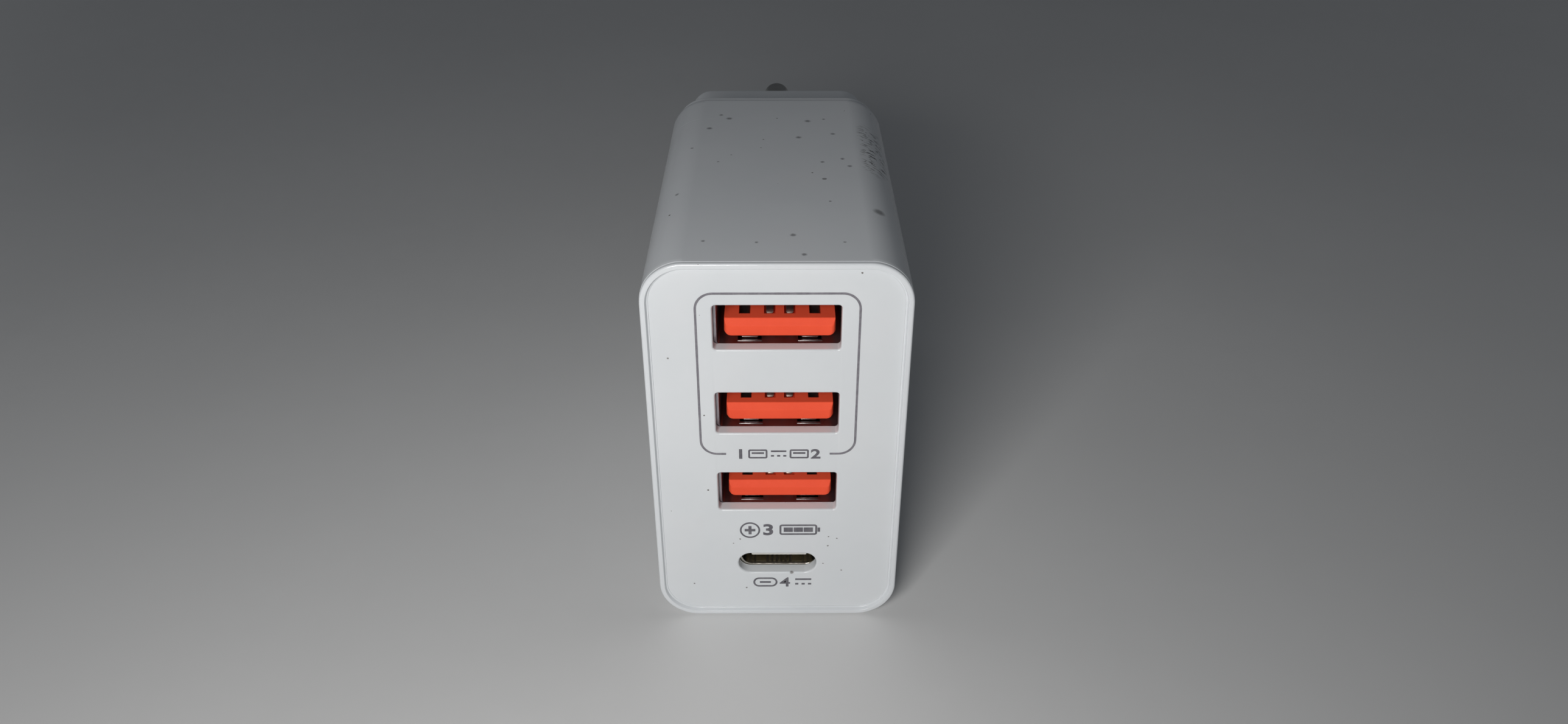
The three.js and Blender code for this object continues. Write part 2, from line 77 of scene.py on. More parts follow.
# ------------------------------------------------------------------ mesh helpers
def rr(w, h, r, n, cx=0.0, cz=0.0):
    """A rounded rectangle's points (x, z), anticlockwise, n steps to each corner."""
    out = []
    for sx, sz, a0 in (
        (1, 1, 0),
        (-1, 1, math.pi / 2),
        (-1, -1, math.pi),
        (1, -1, 1.5 * math.pi),
    ):
        x, z = sx * (w / 2 - r), sz * (h / 2 - r)
        for i in range(n + 1):
            a = a0 + math.pi / 2 * i / n
            out.append((cx + x + r * math.cos(a), cz + z + r * math.sin(a)))
    return out


def ring(points, d):
    return [(x, yy(d), z) for x, z in points]


def finish_mesh(bm, name, smooth=True, weighted=True, sharp=None):
    """Makes an object of the mesh. Edges steeper than sharp, in degrees, stay crisp."""
    bmesh.ops.remove_doubles(bm, verts=bm.verts, dist=1e-9)
    bmesh.ops.recalc_face_normals(bm, faces=bm.faces)
    me = bpy.data.meshes.new(name)
    bm.to_mesh(me)
    bm.free()
    for p in me.polygons:
        p.use_smooth = smooth
    me.update()
    if sharp:
        me.set_sharp_from_angle(angle=math.radians(sharp))
    ob = bpy.data.objects.new(name, me)
    bpy.context.scene.collection.objects.link(ob)
    if weighted:
        m = ob.modifiers.new("even_normals", "WEIGHTED_NORMAL")
        m.mode = "FACE_AREA_WITH_ANGLE"
        m.weight = 60
        m.keep_sharp = True
    return ob


def add_rings(bm, rings, closed):
    """Skins successive rings with the same number of points. Returns the BMVerts of each ring."""
    made = [[bm.verts.new([c * MM for c in p]) for p in r] for r in rings]
    pairs = list(zip(made, made[1:]))
    if closed:
        pairs.append((made[-1], made[0]))
    for a, b in pairs:
        n = len(a)
        for i in range(n):
            j = (i + 1) % n
            bm.faces.new((a[i], a[j], b[j], b[i]))
    return made


def fill_between(bm, loops):
    """Fills the flat area between closed loops of BMVerts."""
    edges = []
    for lp in loops:
        for i in range(len(lp)):
            v, w = lp[i], lp[(i + 1) % len(lp)]
            e = bm.edges.get((v, w)) or bm.edges.new((v, w))
            edges.append(e)
    bmesh.ops.triangle_fill(bm, use_beauty=True, use_dissolve=False, edges=edges)


def arc(c0, c1, r, a0, a1, n):
    """Points round (c0, c1) from angle a0 to a1 in degrees."""
    return [
        (
            c0 + r * math.cos(math.radians(a0 + (a1 - a0) * i / n)),
            c1 + r * math.sin(math.radians(a0 + (a1 - a0) * i / n)),
        )
        for i in range(n + 1)
    ]


def evaluated_copy(ob):
    dg = bpy.context.evaluated_depsgraph_get()
    return bpy.data.meshes.new_from_object(ob.evaluated_get(dg))


def bake_modifiers(ob):
    me = evaluated_copy(ob)
    ob.modifiers.clear()
    old = ob.data
    ob.data = me
    me.name = ob.name
    bpy.data.meshes.remove(old)
    return ob


def box_bm(bm, x0, x1, d0, d1, z0, z1):
    vs = [
        bm.verts.new((x * MM, yy(d) * MM, z * MM))
        for x in (x0, x1)
        for d in (d0, d1)
        for z in (z0, z1)
    ]
    for f in (
        (0, 1, 3, 2),
        (4, 6, 7, 5),
        (0, 4, 5, 1),
        (2, 3, 7, 6),
        (0, 2, 6, 4),
        (1, 5, 7, 3),
    ):
        bm.faces.new([vs[i] for i in f])


def cut_with(ob, cutter):
    """Cuts one mesh from another and removes the cutter."""
    m = ob.modifiers.new("cut", "BOOLEAN")
    m.operation = "DIFFERENCE"
    m.solver = "EXACT"
    m.object = cutter
    bpy.context.view_layer.update()
    bake_modifiers(ob)
    me = cutter.data
    bpy.data.objects.remove(cutter)
    bpy.data.meshes.remove(me)
    return ob


def soften(ob, width, segments=2, angle=30):
    """Rounds the sharp edges of a piece, and evens its normals."""
    b = ob.modifiers.new("round", "BEVEL")
    b.width = width * MM
    b.segments = segments
    b.limit_method = "ANGLE"
    b.angle_limit = math.radians(angle)
    b.harden_normals = False
    b.use_clamp_overlap = True
    w = ob.modifiers.new("even_normals", "WEIGHTED_NORMAL")
    w.mode = "FACE_AREA_WITH_ANGLE"
    w.weight = 60
    w.keep_sharp = True
    return ob


def place(ob, slot, *nodes, material=None):
    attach(ob, "root")
    if nodes:
        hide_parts(*nodes)
    if material:
        ob.data.materials.clear()
        ob.data.materials.append(material)
    return ob


# ------------------------------------------------------------------ materials
class Net:
    """Small helper that builds a node tree. Everything is laid out in object space, which is the row frame in metres."""

    def __init__(self, name):
        self.mat = bpy.data.materials.new(name)
        self.mat.use_nodes = True
        self.t = self.mat.node_tree
        self.t.nodes.clear()
        self.out = self.t.nodes.new("ShaderNodeOutputMaterial")
        self.bsdf = self.t.nodes.new("ShaderNodeBsdfPrincipled")
        self.t.links.new(self.bsdf.outputs[0], self.out.inputs[0])
        self.coord = self.t.nodes.new("ShaderNodeTexCoord").outputs["Object"]

    def put(self, socket, value):
        if isinstance(value, bpy.types.NodeSocket):
            self.t.links.new(value, socket)
        elif hasattr(socket, "default_value"):
            try:
                socket.default_value = value
            except (TypeError, ValueError):
                socket.default_value = (*value, 1.0)

    def set(self, **values):
        for k, v in values.items():
            self.put(self.bsdf.inputs[k.replace("_", " ")], v)
        return self

    def scaled(self, sx, sy, sz, turn=(0, 0, 0), move=(0, 0, 0)):
        n = self.t.nodes.new("ShaderNodeMapping")
        self.put(n.inputs["Vector"], self.coord)
        n.inputs["Scale"].default_value = (sx, sy, sz)
        n.inputs["Rotation"].default_value = [math.radians(a) for a in turn]
        n.inputs["Location"].default_value = move
        return n.outputs[0]

    def stretched(self, turn, sx, sy, sz):
        """Turned first, then stretched, so that the stretch runs at an angle."""
        a = self.scaled(1, 1, 1, turn)
        n = self.t.nodes.new("ShaderNodeMapping")
        self.put(n.inputs["Vector"], a)
        n.inputs["Scale"].default_value = (sx, sy, sz)
        return n.outputs[0]

    def spots(self, places, soft=0.35, wobble=0.00012):
        """A mask of irregular marks at given places: (x, y, z, radius) in millimetres."""
        n = self.t.nodes.new("ShaderNodeTexNoise")
        self.put(n.inputs["Vector"], self.coord)
        n.inputs["Scale"].default_value = 5200
        n.inputs["Detail"].default_value = 2.0
        shift = self.t.nodes.new("ShaderNodeVectorMath")
        shift.operation = "MULTIPLY_ADD"
        self.put(shift.inputs[0], n.outputs[1])
        shift.inputs[1].default_value = (wobble * 2,) * 3
        self.put(shift.inputs[2], self.coord)
        total = None
        for x, y, z, r in places:
            d = self.t.nodes.new("ShaderNodeVectorMath")
            d.operation = "DISTANCE"
            self.put(d.inputs[0], shift.outputs[0])
            d.inputs[1].default_value = (x * MM + wobble, y * MM + wobble, z * MM + wobble)
            m = self.ramp(d.outputs["Value"], r * MM * (1 - soft), r * MM * (1 + soft), 1.0, 0.0)
            total = m if total is None else self.math("MAXIMUM", total, m)
        return total

    def noise(self, scale, detail=3.0, rough=0.5, vector=None, distortion=0.0):
        n = self.t.nodes.new("ShaderNodeTexNoise")
        self.put(n.inputs["Vector"], vector or self.coord)
        n.inputs["Scale"].default_value = scale
        n.inputs["Detail"].default_value = detail
        n.inputs["Roughness"].default_value = rough
        n.inputs["Distortion"].default_value = distortion
        return n.outputs[0]

    def voronoi(self, scale, vector=None, feature="F1", randomness=1.0):
        n = self.t.nodes.new("ShaderNodeTexVoronoi")
        n.feature = feature
        self.put(n.inputs["Vector"], vector or self.coord)
        n.inputs["Scale"].default_value = scale
        n.inputs["Randomness"].default_value = randomness
        return n

    def ramp(self, fac, a, b, lo=0.0, hi=1.0):
        """Linear from lo at a to hi at b, clamped."""
        n = self.t.nodes.new("ShaderNodeMapRange")
        n.clamp = True
        self.put(n.inputs["Value"], fac)
        n.inputs["From Min"].default_value = a
        n.inputs["From Max"].default_value = b
        n.inputs["To Min"].default_value = lo
        n.inputs["To Max"].default_value = hi
        return n.outputs[0]

    def math(self, op, a, b=0.0, clamp=False):
        n = self.t.nodes.new("ShaderNodeMath")
        n.operation = op
        n.use_clamp = clamp
        self.put(n.inputs[0], a)
        self.put(n.inputs[1], b)
        return n.outputs[0]

    def mix(self, fac, a, b):
        n = self.t.nodes.new("ShaderNodeMix")
        n.data_type = "RGBA"
        self.put(n.inputs["Factor"], fac)
        self.put(n.inputs[6], a)
        self.put(n.inputs[7], b)
        return n.outputs[2]

    def xyz(self):
        n = self.t.nodes.new("ShaderNodeSeparateXYZ")
        self.put(n.inputs[0], self.coord)
        return n.outputs

    def bump(self, height, strength=0.2, distance=0.00005, normal=None):
        n = self.t.nodes.new("ShaderNodeBump")
        n.inputs["Strength"].default_value = strength
        n.inputs["Distance"].default_value = distance
        self.put(n.inputs["Height"], height)
        if normal is not None:
            self.put(n.inputs["Normal"], normal)
        return n.outputs[0]


def specks(net, scale, radius, share, vector=None, wobble=0.45):
    """A mask of small irregular spots: share of the cells hold one, radius is in cells."""
    v = net.voronoi(scale, vector)
    n = net.noise(scale * 9, 2.0, 0.6)
    edge = net.math("MULTIPLY_ADD", n, wobble * radius * 2)
    edge.node.inputs[2].default_value = radius * (1 - wobble)
    inside = net.math("LESS_THAN", v.outputs["Distance"], edge)
    sep = net.t.nodes.new("ShaderNodeSeparateColor")
    net.put(sep.inputs[0], v.outputs["Color"])
    chosen = net.math("LESS_THAN", sep.outputs[0], share)
    return net.math("MULTIPLY", inside, chosen), sep.outputs[1]


def white_plastic(name, tone, shade, rough, texture, dust, worn=False, marks=(), dots=()):
    """Moulded white plastic: faint colour drift, satin variation, dust specks, and marks where it has been handled."""
    k = Net(name)
    x, y, z = k.xyz()
    drift = k.noise(95, 3.0, 0.55)
    base = k.mix(k.ramp(drift, 0.35, 0.68), tone, shade)
    warm = k.ramp(k.noise(170, 2.0, 0.5, k.scaled(1, 1, 1, move=(0.3, 0.1, 0.7))), 0.50, 0.75, 0.0, 0.18)
    base = k.mix(warm, base, (tone[0] * 1.01, tone[1] * 0.965, tone[2] * 0.965))
    upward = k.ramp(z, 0.0440, 0.0447)
    share = k.math("ADD", k.math("MULTIPLY", upward, dust), dust)
    fine, hue = specks(k, 520, 0.062, share)
    big, hue2 = specks(k, 180, 0.044, k.math("MULTIPLY", upward, dust * 2), k.scaled(1, 1, 1, move=(0.013, 0.041, 0.007)))
    dirt = k.mix(hue, (0.10, 0.085, 0.07), (0.30, 0.29, 0.28))
    base = k.mix(k.math("MULTIPLY", fine, 0.85), base, dirt)
    base = k.mix(k.math("MULTIPLY", big, 0.75), base, (0.16, 0.155, 0.15))
    r = k.ramp(k.noise(160, 4.0, 0.6), 0.3, 0.75, rough - 0.04, rough + 0.06)
    height = k.noise(texture[0], 3.0, 0.55)
    if worn:
        # scuffs on the edge that rubs, and a few hairlines on the roof
        edge = k.math("MULTIPLY", k.ramp(x, 0.0093, 0.0103), k.ramp(z, 0.0428, 0.0436))
        edge = k.math("MULTIPLY", edge, k.math("MULTIPLY", k.ramp(y, -0.0215, -0.0175), k.ramp(y, -0.0085, -0.0055, 1.0, 0.0)))
        nick = k.noise(1.0, 3.0, 0.62, k.stretched((0, 0, 14), 920, 2700, 920), 0.15)
        nick = k.math("MULTIPLY", k.ramp(nick, 0.545, 0.57), edge)
        base = k.mix(k.math("MULTIPLY", nick, 0.95), base, (0.12, 0.12, 0.125))
        line = k.noise(1.0, 1.0, 0.3, k.scaled(60, 3200, 60, (0, 0, 14)), 0.1)
        where = k.ramp(k.noise(75, 1.0, 0.5, k.scaled(1, 1, 1, move=(1.7, 0.4, 0.9))), 0.60, 0.64)
        line = k.math("MULTIPLY", k.ramp(line, 0.74, 0.77), where)
        r = k.math("ADD", r, k.math("MULTIPLY", line, 0.15))
        height = k.math("SUBTRACT", height, k.math("MULTIPLY", k.math("ADD", nick, line), 1.2))
    if marks:
        base = k.mix(k.math("MULTIPLY", k.spots(marks, 0.45), 0.74), base, (0.18, 0.18, 0.185))
    if dots:
        base = k.mix(k.math("MULTIPLY", k.spots(dots, 0.3, 0.00006), 0.8), base, (0.13, 0.11, 0.095))
    k.set(Base_Color=base, Roughness=r)
    k.bsdf.inputs["IOR"].default_value = 1.52
    k.bsdf.inputs["Specular IOR Level"].default_value = 0.6
    k.put(k.bsdf.inputs["Normal"], k.bump(height, texture[1], texture[2]))
    return k.mat


def metal(name, light, dark, rough, grain, scale=600, aniso=(1, 1, 1), tarnish=0.3):
    """Plated or bare metal: brushed grain, a little tarnish, fine pits."""
    k = Net(name)
    cloud = k.noise(scale * 0.4, 4.0, 0.6)
    base = k.mix(k.ramp(cloud, 0.38, 0.72, 0.0, tarnish), light, dark)
    line = k.noise(scale * 4, 3.0, 0.6, k.scaled(*aniso))
    k.set(Base_Color=base, Roughness=k.ramp(line, 0.3, 0.75, rough - 0.06, rough + 0.1))
    k.bsdf.inputs["Metallic"].default_value = 1.0
    if grain:
        k.put(k.bsdf.inputs["Normal"], k.bump(line, grain, 0.00002))
    return k.mat


def plain(name, light, dark, rough, scale=500, bump=0.15, mottling=1.0, depth=0.00003, metallic=0.0):
    """A moulded, potted or dipped surface with mottling and a fine texture."""
    k = Net(name)
    base = k.mix(k.ramp(k.noise(scale * 0.5, 4.0, 0.6), 0.34, 0.7, 0.0, mottling), light, dark)
    grain = k.noise(scale * 6, 3.0, 0.55)
    k.set(Base_Color=base, Roughness=k.ramp(grain, 0.3, 0.7, rough - 0.05, rough + 0.08))
    k.bsdf.inputs["Metallic"].default_value = metallic
    k.put(k.bsdf.inputs["Normal"], k.bump(grain, bump, depth))
    return k.mat


ROOF_MARKS = [
    (x, FRONT + d, z, r * 1.2)
    for x, d, z, r in (
        (10.47, 12.0, 44.57, 0.46), (-7.98, 34.8, 44.9, 0.24), (-5.75, 38.1, 44.9, 0.26), (-6.76, 39.3, 44.9, 0.18),
        (3.72, 37.2, 44.9, 0.27), (2.55, 31.9, 44.9, 0.25), (6.58, 33.0, 44.9, 0.20), (7.35, 25.4, 44.9, 0.18),
        (8.05, 23.3, 44.9, 0.19), (5.07, 24.5, 44.9, 0.17), (-6.54, 24.6, 44.9, 0.11), (-9.68, 28.8, 44.81, 0.13),
        (-10.53, 16.5, 44.54, 0.17), (1.59, 6.1, 44.9, 0.22), (2.6, 1.9, 44.9, 0.20), (-7.14, 4.8, 44.9, 0.14),
        (-1.96, 4.5, 44.9, 0.13), (5.53, 14.0, 44.9, 0.11), (6.56, 4.5, 44.9, 0.12), (5.67, 37.8, 44.9, 0.14),
    )
]
FACE_DOTS = [
    (x, FRONT + RECESS, z, r)
    for x, z, r in (
        (1.58, 6.0, 0.22), (-10.76, 34.24, 0.10), (5.57, 11.2, 0.08), (5.53, 9.88, 0.10), (6.51, 10.93, 0.08),
        (5.05, 7.3, 0.07), (7.11, 6.3, 0.08), (-4.07, 10.88, 0.09), (-4.82, 10.27, 0.07), (-9.32, 4.36, 0.09),
    )
]
M_CASE = white_plastic(
    "gloss_white_case", (0.775, 0.800, 0.822), (0.752, 0.779, 0.803), 0.15, (900, 0.02, 0.00002), 0.22, True, ROOF_MARKS
)
M_PANEL = white_plastic(
    "satin_white_panel", (0.765, 0.790, 0.808), (0.735, 0.762, 0.782), 0.20, (2600, 0.03, 0.00002), 0.20, dots=FACE_DOTS
)
M_PLUG = white_plastic(
    "textured_white_plug", (0.755, 0.780, 0.800), (0.725, 0.752, 0.775), 0.42, (5200, 0.30, 0.00003), 0.10
)
M_PIN = metal(
    "nickel_plated_brass", (0.72, 0.70, 0.66), (0.50, 0.47, 0.42), 0.20, 0.25, 500, (1, 6, 1), 0.4
)
# the type A shells: plated steel made darker than the type C shell's, painted shade for the deep port interior
M_SHELL_A_SHADED = metal(
    "nickel_steel_painted_shade", (0.50, 0.47, 0.50), (0.40, 0.37, 0.39), 0.34, 0.0, 300, (1, 0.3, 1), 0.6
)
M_SHELL_C = metal(
    "bright_drawn_steel", (0.86, 0.81, 0.73), (0.76, 0.71, 0.62), 0.14, 0.0, 300, (1, 0.3, 1), 0.5
)
# the spring fingers: the shell's steel made darker still, painted shade inside the port
M_SPRING_SHADED = metal(
    "spring_steel_painted_shade", (0.38, 0.365, 0.355), (0.28, 0.27, 0.26), 0.30, 0.05, 700, (0.2, 1, 1), 0.4
)
# contact metal made dark and brownish, painted shade inside the grooves; the outer pair gets a darker copy still
M_CONTACT_SHADED = metal(
    "tin_contact_painted_shade", (0.42, 0.34, 0.30), (0.22, 0.17, 0.145), 0.42, 0.20, 1400, (1, 0.3, 1), 0.8
)
M_CONTACT_DEEP_SHADED = metal(
    "contact_deeper_painted_shade", (0.15, 0.125, 0.12), (0.09, 0.075, 0.07), 0.50, 0.20, 1400, (1, 0.3, 1), 0.8
)
M_PAD = metal(
    "gold_flashed_pad", (0.90, 0.84, 0.62), (0.76, 0.70, 0.50), 0.46, 0.05, 900, (1, 0.3, 1), 0.5
)
M_ORANGE = plain("orange_nylon", (0.99, 0.112, 0.048), (0.94, 0.098, 0.042), 0.66, 700, 0.22, 0.8, 0.00002)
M_ORANGE.node_tree.nodes["Principled BSDF"].inputs["Specular IOR Level"].default_value = 0.20
M_TIP = plain("pale_tongue_tip", (0.74, 0.73, 0.70), (0.60, 0.59, 0.55), 0.36, 2200, 0.3, 0.8, 0.00002)
# the type C tongue: its foot's black nylon made lighter and browner, painted light for the lit port interior
M_C_TONGUE_LIT = plain("black_nylon_painted_light", (0.120, 0.108, 0.100), (0.090, 0.080, 0.072), 0.40, 700, 0.15)
M_BLACK = plain("black_nylon", (0.035, 0.032, 0.030), (0.018, 0.017, 0.017), 0.42, 700, 0.2)


# ------------------------------------------------------------------ case
N = 20  # steps to each corner


def case_ring(inset, d, extra=0.0):
    r = max(CORNER_R - inset - extra, 0.5)
    return ring(rr(WIDTH - 2 * inset, HEIGHT - 2 * inset, r, N, 0, MID_Z), d)


def make_case():
    """The sleeve: rounded outer edges, a flat rim, a bevel down to the panel, then the panel's seat and the hollow."""
    profile = []
    # back edge, small radius
    profile += [(0.2 - y, x) for x, y in arc(SLEEVE - 0.2, 0.0, 0.2, 0, 90, 4)]
    profile += [(0.0, SLEEVE - 1.0), (0.0, 40.0), (0.0, 34.0), (0.0, 26.0), (0.0, 18.0), (0.0, 10.0), (0.0, 4.0), (0.0, 1.2)]
    # a witness line from the mould, then the front edge
    profile += [(0.0, 0.58), (0.006, 0.555), (0.030, 0.54)]
    er = 0.22
    profile += [
        (0.03 + er - er * math.cos(math.radians(a)), er - er * math.sin(math.radians(a)))
        for a in (0, 15, 30, 45, 60, 75, 90)
    ]
    # rim, its rounded inner edge, the wall down to the panel, and a narrow ledge
    profile += [(0.36, 0.0), (0.53, 0.0), (0.553, 0.004), (0.572, 0.016), (0.586, 0.036), (0.600, 0.08), (0.660, 0.33), (0.672, 0.37), (0.690, 0.40), (0.715, 0.415)]
    profile += [(0.745, 0.42), (0.815, 0.42), (0.838, 0.426), (0.852, 0.44), (0.858, 0.46), (0.858, 0.60), (0.858, 1.75)]
    profile += [(1.0, 1.75), (1.4, 1.75), (1.5, 1.85), (1.5, 6.0), (1.5, 20.0), (1.5, 38.0), (1.5, SLEEVE - 0.1), (1.4, SLEEVE)]
    profile += [(0.8, SLEEVE)]
    bm = bmesh.new()
    add_rings(bm, [case_ring(i, d) for i, d in profile], True)
    return finish_mesh(bm, "case_sleeve", sharp=50)


case = place(make_case(), "enclosure_white", "main_housing", material=M_CASE)


def plate_with_slots(name, outer, slots, d0, d1, edge_out, edge_slot):
    """A flat plate with rounded slots. Its front edges are rounded and its back edges are plain."""
    w, h, r, cz = outer
    bm = bmesh.new()
    fronts, backs = [], []

    def loop(w, h, r, n, cx, cz, e, sign):
        rings = [
            (sign * -(e - e * math.sin(math.radians(t))), d0 + e - e * math.cos(math.radians(t)))
            for t in (0, 18, 36, 54, 72, 90)
        ]
        rings.append((0.0, (d0 + e + d1) / 2))
        rings.append((0.0, d1))
        made = add_rings(
            bm,
            [
                ring(rr(w + 2 * o, h + 2 * o, max(r + o, 0.02), n, cx, cz), d)
                for o, d in rings
            ],
            False,
        )
        fronts.append(made[0])
        backs.append(made[-1])

    loop(w, h, r, N, 0, cz, edge_out, 1)
    for x, z, sw, sh, sr, n in slots:
        loop(sw, sh, sr, n, x, z, edge_slot, -1)
    fill_between(bm, fronts)
    fill_between(bm, backs)
    return finish_mesh(bm, name, sharp=50)


slots = [(0, z, *SLOT_A, 6) for z in PORT_Z]
slots.append((0, PORT_C_Z, SLOT_C[0], SLOT_C[1], SLOT_C[1] / 2 - 0.001, 16))
panel = plate_with_slots(
    "port_panel",
    (WIDTH - 2 * 0.862, HEIGHT - 2 * 0.862, CORNER_R - 0.862, MID_Z),
    slots,
    RECESS,
    PANEL_BACK,
    0.015,
    0.20,
)
place(panel, "panel_white", "front_panel", material=M_PANEL)


# ------------------------------------------------------------------ plug cover
def make_cover():
    """Spigot, flange with a rounded shoulder, plug block, and two blind recesses round the pins."""
    bm = bmesh.new()
    prof = []

    def by_inset(i, d):
        prof.append(case_ring(i, d))

    bw, bh, br = BLOCK

    def by_block(o, d):
        prof.append(ring(rr(bw - 2 * o, bh - 2 * o, max(br - o, 0.4), N, 0, MID_Z), d))

    # inside of the hollow, from its floor to the spigot's mouth
    by_block(2.2, 63.6)
    by_block(1.8, 63.2)
    by_block(1.8, 45.4)
    by_inset(2.95, 44.6)
    by_inset(2.95, 41.7)
    by_inset(2.85, 41.6)
    by_inset(1.75, 41.6)
    by_inset(1.65, 41.7)
    by_inset(1.65, SLEEVE + 0.05)
    by_inset(0.5, SLEEVE + 0.05)
    by_inset(0.40, SLEEVE + 0.08)
    by_inset(0.35, SLEEVE + 0.18)
    by_inset(0.35, FLANGE_END - 0.6)
    fr = 0.5
    for a in (15, 30, 45, 60, 75, 90):
        t = math.radians(a)
        by_inset(0.35 + fr - fr * math.cos(t), FLANGE_END - fr + fr * math.sin(t))
    # concave fillet at the foot of the block
    f = 0.12
    for a in (0, 22.5, 45, 67.5, 90):
        t = math.radians(a)
        by_block(-(f - f * math.sin(t)), FLANGE_END + f - f * math.cos(t))
    by_block(0.0, 50.0)
    by_block(0.0, 56.0)
    by_block(0.0, 62.0)
    e = 0.8
    for a in (0, 15, 30, 45, 60, 75, 90):
        t = math.radians(a)
        by_block(e - e * math.cos(t), BLOCK_END - e + e * math.sin(t))
    made = add_rings(bm, prof, False)
    # floor of the hollow
    fill_between(bm, [made[0]])
    # engagement face with two recesses
    loops = [made[-1]]
    for z in PIN_Z:
        ring0 = []
        hole = []
        seg = 40
        steps = [(2.28, BLOCK_END), (2.20, BLOCK_END + 0.0), (2.12, BLOCK_END - 0.03), (2.07, BLOCK_END - 0.10), (2.06, BLOCK_END - 0.5), (2.06, BLOCK_END - 1.2)]
        for r, d in steps:
            hole.append(
                [
                    (r * math.cos(2 * math.pi * i / seg), yy(d), z + r * math.sin(2 * math.pi * i / seg))
                    for i in range(seg)
                ]
            )
        m = add_rings(bm, hole, False)
        fill_between(bm, [m[-1]])
        loops.append(m[0])
    fill_between(bm, loops)
    return finish_mesh(bm, "plug_cover", sharp=50)


cover = place(make_cover(), "plug_white", "rear_cover", material=M_PLUG)


def turned(name, profile, x, z, seg=48):
    """A turned piece along Y. Profile is [radius, distance behind the front rim], from axis to axis."""
    bm = bmesh.new()
    rows = [
        [
            (x + r * math.cos(2 * math.pi * i / seg), yy(d), z + r * math.sin(2 * math.pi * i / seg))
            for i in range(seg)
        ]
        for r, d in profile
    ]
    made = add_rings(bm, rows, False)
    for end, d in ((made[0], profile[0][1]), (made[-1], profile[-1][1])):
        c = bm.verts.new((x * MM, yy(d) * MM, z * MM))
        for i in range(seg):
            bm.faces.new((end[i], end[(i + 1) % seg], c))
    return finish_mesh(bm, name, sharp=40)


for node, name, z in (
    ("plug_pin_upper", "mains_pin_upper", PIN_Z[0]),
    ("plug_pin_lower", "mains_pin_lower", PIN_Z[1]),
):
    prof = [(1.5, 60.2), (1.5, 64.75), (1.92, 64.8), (2.0, 64.88), (2.0, 66.0), (2.0, 70.0), (2.0, 76.0), (2.0, LENGTH - 1.75)]
    for a in range(8, 89, 8):
        t = math.radians(a)
        prof.append((0.25 + 1.75 * math.cos(t), LENGTH - 1.75 + 1.75 * math.sin(t)))
    prof.append((0.2, LENGTH))
    place(turned(name, prof, 0, z), "pin_nickel", node, material=M_PIN)


# ------------------------------------------------------------------ type A receptacles
def tube(name, w, h, r, iw, ih, ir, n, cx, cz, d0, d1, edge=0.035):
    """A rounded sheet-metal tube with slightly rounded mouth edges."""
    bm = bmesh.new()
    o = [(w, h, r, d1), (w, h, r, (d0 + d1) / 2), (w, h, r, d0 + edge)]
    rings = [ring(rr(a, b, c, n, cx, cz), d) for a, b, c, d in o]
    for t in (45, 90):
        s = edge - edge * math.cos(math.radians(t))
        rings.append(ring(rr(w - 2 * s, h - 2 * s, max(r - s, 0.02), n, cx, cz), d0 + edge - edge * math.sin(math.radians(t))))
    for t in (90, 45, 0):
        s = edge - edge * math.cos(math.radians(t))
        rings.append(ring(rr(iw + 2 * s, ih + 2 * s, ir + s, n, cx, cz), d0 + edge - edge * math.sin(math.radians(t))))
    rings.append(ring(rr(iw, ih, ir, n, cx, cz), (d0 + d1) / 2))
    rings.append(ring(rr(iw, ih, ir, n, cx, cz), d1))
    add_rings(bm, rings, True)
    return bm


def strip(bm, path, x0, x1, thick, taper=0.0):
    """A bent strip that follows path, points (distance, height), between x0 and x1."""
    n = len(path)
    normals = []
    for i in range(n):
        a, b = path[max(i - 1, 0)], path[min(i + 1, n - 1)]
        dx, dz = b[0] - a[0], b[1] - a[1]
        l = math.hypot(dx, dz)
        normals.append((-dz / l, dx / l))
    rows = []
    for i, ((d, z), (u, v)) in enumerate(zip(path, normals)):
        t = taper * (1 - min(1.0, i / 3.0))
        rows.append(
            [
                (x0 + t, yy(d - u * thick / 2), z - v * thick / 2),
                (x1 - t, yy(d - u * thick / 2), z - v * thick / 2),
                (x1 - t, yy(d + u * thick / 2), z + v * thick / 2),
                (x0 + t, yy(d + u * thick / 2), z + v * thick / 2),
            ]
        )
    made = add_rings(bm, rows, False)
    bm.faces.new(list(reversed(made[0])))
    bm.faces.new(made[-1])


def smooth_path(points, steps=6):
    """A Catmull-Rom curve through 2-D points."""
    out = []
    p = [points[0], *points, points[-1]]
    for i in range(1, len(p) - 2):
        for k in range(steps):
            t = k / steps
            q = []
            for c in (0, 1):
                a, b, d, e = p[i - 1][c], p[i][c], p[i + 1][c], p[i + 2][c]
                q.append(
                    0.5
                    * (
                        2 * b
                        + (d - a) * t
                        + (2 * a - 5 * b + 4 * d - e) * t * t
                        + (3 * b - a - 3 * d + e) * t**3
                    )
                )
            out.append(tuple(q))
    out.append(points[-1])
    return out


SHELL_FRONT = (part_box("usb_a_shell_top")[0].y * 1000) - FRONT
TONGUE_FRONT = (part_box("usb_a_tongue_top")[0].y * 1000) - FRONT
CONTACT_X = (-3.5, -1.0, 1.0, 3.5)

